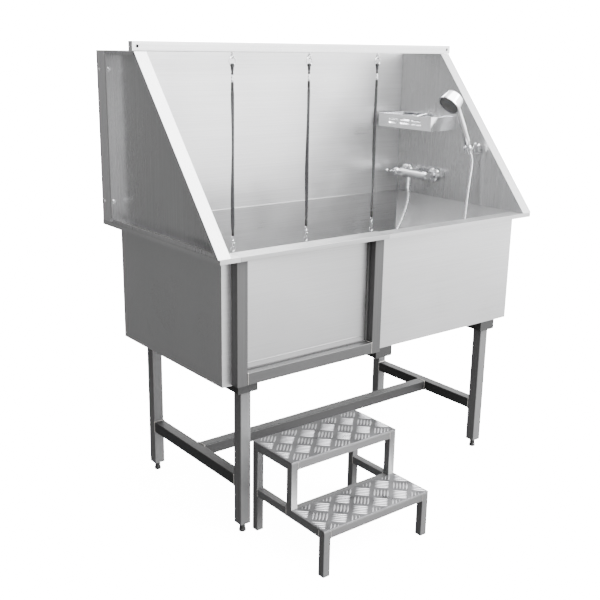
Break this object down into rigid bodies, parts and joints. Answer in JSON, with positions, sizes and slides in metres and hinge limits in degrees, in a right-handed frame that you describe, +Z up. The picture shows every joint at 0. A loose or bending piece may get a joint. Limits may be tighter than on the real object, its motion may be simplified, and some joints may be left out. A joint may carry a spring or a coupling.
{
  "type": "pet grooming bathtub",
  "caption": "Raised steel pet bath with lift-up door, folded splash panels, top rail with leashes, mixer, hand shower, soap basket and separate steps.",
  "frame": {"origin": "centre of the bounding box on the floor", "axes": "+X along the tub towards the mixer end, -Y towards the door side, +Z up"},
  "size_m": [1.362, 0.996, 1.4953],
  "materials": {
    "basin": "brushed stainless sheet or tube",
    "back_splash": "brushed stainless sheet or tube",
    "side_splash_left": "brushed stainless sheet or tube",
    "side_splash_right": "brushed stainless sheet or tube",
    "top_rail": "brushed stainless sheet or tube",
    "rail_bolt_left": "brushed stainless sheet or tube",
    "rail_bolt_right": "brushed stainless sheet or tube",
    "door_panel": "brushed stainless sheet or tube",
    "door_post_left": "brushed stainless sheet or tube",
    "door_post_middle": "brushed stainless sheet or tube",
    "door_sill_rail": "brushed stainless sheet or tube",
    "cross_rail_left": "brushed stainless sheet or tube",
    "cross_rail_middle": "brushed stainless sheet or tube",
    "cross_rail_right": "brushed stainless sheet or tube",
    "end_brace_left": "brushed stainless sheet or tube",
    "end_brace_right": "brushed stainless sheet or tube",
    "long_brace": "brushed stainless sheet or tube",
    "steps_frame": "brushed stainless sheet or tube",
    "leg_front_left": "brushed stainless sheet or tube",
    "foot_front_left": "black moulded plastic",
    "leg_front_right": "brushed stainless sheet or tube",
    "foot_front_right": "black moulded plastic",
    "leg_back_left": "brushed stainless sheet or tube",
    "foot_back_left": "black moulded plastic",
    "leg_back_right": "brushed stainless sheet or tube",
    "foot_back_right": "black moulded plastic",
    "door_seal": "black rubber profile",
    "drain_flange": "polished chrome plating",
    "drain_strainer": "polished chrome plating",
    "hose_nut": "polished chrome plating",
    "mixer_body": "polished chrome plating",
    "mixer_cap": "polished chrome plating",
    "mixer_lever": "polished chrome plating",
    "mixer_union_back": "polished chrome plating",
    "mixer_union_front": "polished chrome plating",
    "shower_bracket": "polished chrome plating",
    "soap_basket": "polished chrome plating",
    "shower_hose": "polished chrome plating",
    "hand_shower": "chrome-plated plastic",
    "hand_shower_nut": "chrome-plated plastic",
    "spray_face": "dark moulded plastic",
    "drain_tailpiece": "black moulded plastic",
    "leash_eye_left": "polished chrome plating",
    "leash_ring_left": "polished chrome plating",
    "leash_hook_left": "polished chrome plating",
    "leash_loop_left": "black nylon webbing",
    "leash_strap_left": "black nylon webbing",
    "leash_eye_middle": "polished chrome plating",
    "leash_ring_middle": "polished chrome plating",
    "leash_hook_middle": "polished chrome plating",
    "leash_loop_middle": "black nylon webbing",
    "leash_strap_middle": "black nylon webbing",
    "leash_eye_right": "polished chrome plating",
    "leash_ring_right": "polished chrome plating",
    "leash_hook_right": "polished chrome plating",
    "leash_loop_right": "black nylon webbing",
    "leash_strap_right": "black nylon webbing",
    "tread_lower": "checker plate",
    "tread_upper": "checker plate"
  },
  "bodies": {
    "tub": {"basin": "basin", "back_splash": "back_splash", "side_splash_left": "side_splash_left", "side_splash_right": "side_splash_right", "top_rail": "top_rail", "rail_bolt_left": "rail_bolt_left", "rail_bolt_right": "rail_bolt_right", "door_post_left": "door_post_left", "door_post_middle": "door_post_middle", "door_sill_rail": "door_sill_rail", "cross_rail_left": "cross_rail_left", "cross_rail_middle": "cross_rail_middle", "cross_rail_right": "cross_rail_right", "end_brace_left": "end_brace_left", "end_brace_right": "end_brace_right", "long_brace": "long_brace", "leg_front_left": "leg_front_left", "leg_front_right": "leg_front_right", "leg_back_left": "leg_back_left", "leg_back_right": "leg_back_right", "door_seal": "door_seal", "drain_flange": "drain_flange", "hose_nut": "hose_nut", "mixer_body": "mixer_body", "mixer_union_back": "mixer_union_back", "mixer_union_front": "mixer_union_front", "shower_bracket": "shower_bracket", "soap_basket": "soap_basket", "shower_hose": "shower_hose", "drain_tailpiece": "drain_tailpiece", "leash_eye_left": "leash_eye_left", "leash_eye_middle": "leash_eye_middle", "leash_eye_right": "leash_eye_right"},
    "door": {"door_panel": "door_panel"},
    "strainer": {"drain_strainer": "drain_strainer"},
    "mixer_flow": {"mixer_cap": "mixer_cap"},
    "mixer_handle": {"mixer_lever": "mixer_lever"},
    "handset": {"hand_shower": "hand_shower", "spray_face": "spray_face", "hand_shower_nut": "hand_shower_nut"},
    "steps": {"steps_frame": "steps_frame", "tread_lower": "tread_lower", "tread_upper": "tread_upper"},
    "foot_front_left": {"foot_front_left": "foot_front_left"},
    "foot_front_right": {"foot_front_right": "foot_front_right"},
    "foot_back_left": {"foot_back_left": "foot_back_left"},
    "foot_back_right": {"foot_back_right": "foot_back_right"},
    "leash_ring_left": {"leash_ring_left": "leash_ring_left"},
    "leash_left": {"leash_loop_left": "leash_loop_left", "leash_strap_left": "leash_strap_left"},
    "leash_hook_left": {"leash_hook_left": "leash_hook_left"},
    "leash_ring_middle": {"leash_ring_middle": "leash_ring_middle"},
    "leash_middle": {"leash_loop_middle": "leash_loop_middle", "leash_strap_middle": "leash_strap_middle"},
    "leash_hook_middle": {"leash_hook_middle": "leash_hook_middle"},
    "leash_ring_right": {"leash_ring_right": "leash_ring_right"},
    "leash_right": {"leash_loop_right": "leash_loop_right", "leash_strap_right": "leash_strap_right"},
    "leash_hook_right": {"leash_hook_right": "leash_hook_right"}
  },
  "joints": [
    {"name": "door_slide", "type": "slide", "parent": "tub", "child": "door", "axis": [0, 0, 1], "range_m": [0, 0.4]},
    {"name": "strainer_lift", "type": "slide", "parent": "tub", "child": "strainer", "axis": [0, 0, 1], "range_m": [0, 0.15]},
    {"name": "mixer_flow_turn", "type": "hinge", "parent": "tub", "child": "mixer_flow", "pos_m": [0.578, 0.387, 1.003], "axis": [0, 1, 0], "range_deg": [0, 28]},
    {"name": "mixer_heat_turn", "type": "hinge", "parent": "mixer_flow", "child": "mixer_handle", "pos_m": [0.578, 0.387, 1.003], "axis": [0, 0, 1], "range_deg": [-18, 18]},
    {"name": "handset_lift", "type": "slide", "parent": "tub", "child": "handset", "axis": [-0.4525, 0, 0.8917], "range_m": [0, 0.1]},
    {"name": "steps_slide", "type": "slide", "parent": "tub", "child": "steps", "axis": [0, -1, 0], "range_m": [-0.22, 0.3]},
    {"name": "foot_front_left_turn", "type": "hinge", "parent": "tub", "child": "foot_front_left", "pos_m": [-0.541, -0.135, 0.031], "axis": [0, 0, 1], "continuous": true},
    {"name": "foot_front_right_turn", "type": "hinge", "parent": "tub", "child": "foot_front_right", "pos_m": [0.541, -0.135, 0.031], "axis": [0, 0, 1], "continuous": true},
    {"name": "foot_back_left_turn", "type": "hinge", "parent": "tub", "child": "foot_back_left", "pos_m": [-0.541, 0.407, 0.031], "axis": [0, 0, 1], "continuous": true},
    {"name": "foot_back_right_turn", "type": "hinge", "parent": "tub", "child": "foot_back_right", "pos_m": [0.541, 0.407, 0.031], "axis": [0, 0, 1], "continuous": true},
    {"name": "leash_ring_swing_left", "type": "hinge", "parent": "tub", "child": "leash_ring_left", "pos_m": [-0.317, 0.2465, 1.4463], "axis": [0, 1, 0], "range_deg": [-24, 24]},
    {"name": "leash_swing_left", "type": "hinge", "parent": "leash_ring_left", "child": "leash_left", "pos_m": [-0.317, 0.2465, 1.425], "axis": [1, 0, 0], "range_deg": [-75, 16]},
    {"name": "leash_hook_turn_left", "type": "hinge", "parent": "leash_left", "child": "leash_hook_left", "pos_m": [-0.317, 0.2465, 0.8635], "axis": [0, 0, 1], "continuous": true},
    {"name": "leash_ring_swing_middle", "type": "hinge", "parent": "tub", "child": "leash_ring_middle", "pos_m": [0, 0.2465, 1.4463], "axis": [0, 1, 0], "range_deg": [-24, 24]},
    {"name": "leash_swing_middle", "type": "hinge", "parent": "leash_ring_middle", "child": "leash_middle", "pos_m": [0, 0.2465, 1.425], "axis": [1, 0, 0], "range_deg": [-75, 16]},
    {"name": "leash_hook_turn_middle", "type": "hinge", "parent": "leash_middle", "child": "leash_hook_middle", "pos_m": [0, 0.2465, 0.8635], "axis": [0, 0, 1], "continuous": true},
    {"name": "leash_ring_swing_right", "type": "hinge", "parent": "tub", "child": "leash_ring_right", "pos_m": [0.317, 0.2465, 1.4463], "axis": [0, 1, 0], "range_deg": [-24, 24]},
    {"name": "leash_swing_right", "type": "hinge", "parent": "leash_ring_right", "child": "leash_right", "pos_m": [0.317, 0.2465, 1.425], "axis": [1, 0, 0], "range_deg": [-75, 16]},
    {"name": "leash_hook_turn_right", "type": "hinge", "parent": "leash_right", "child": "leash_hook_right", "pos_m": [0.317, 0.2465, 0.8635], "axis": [0, 0, 1], "continuous": true}
  ]
}
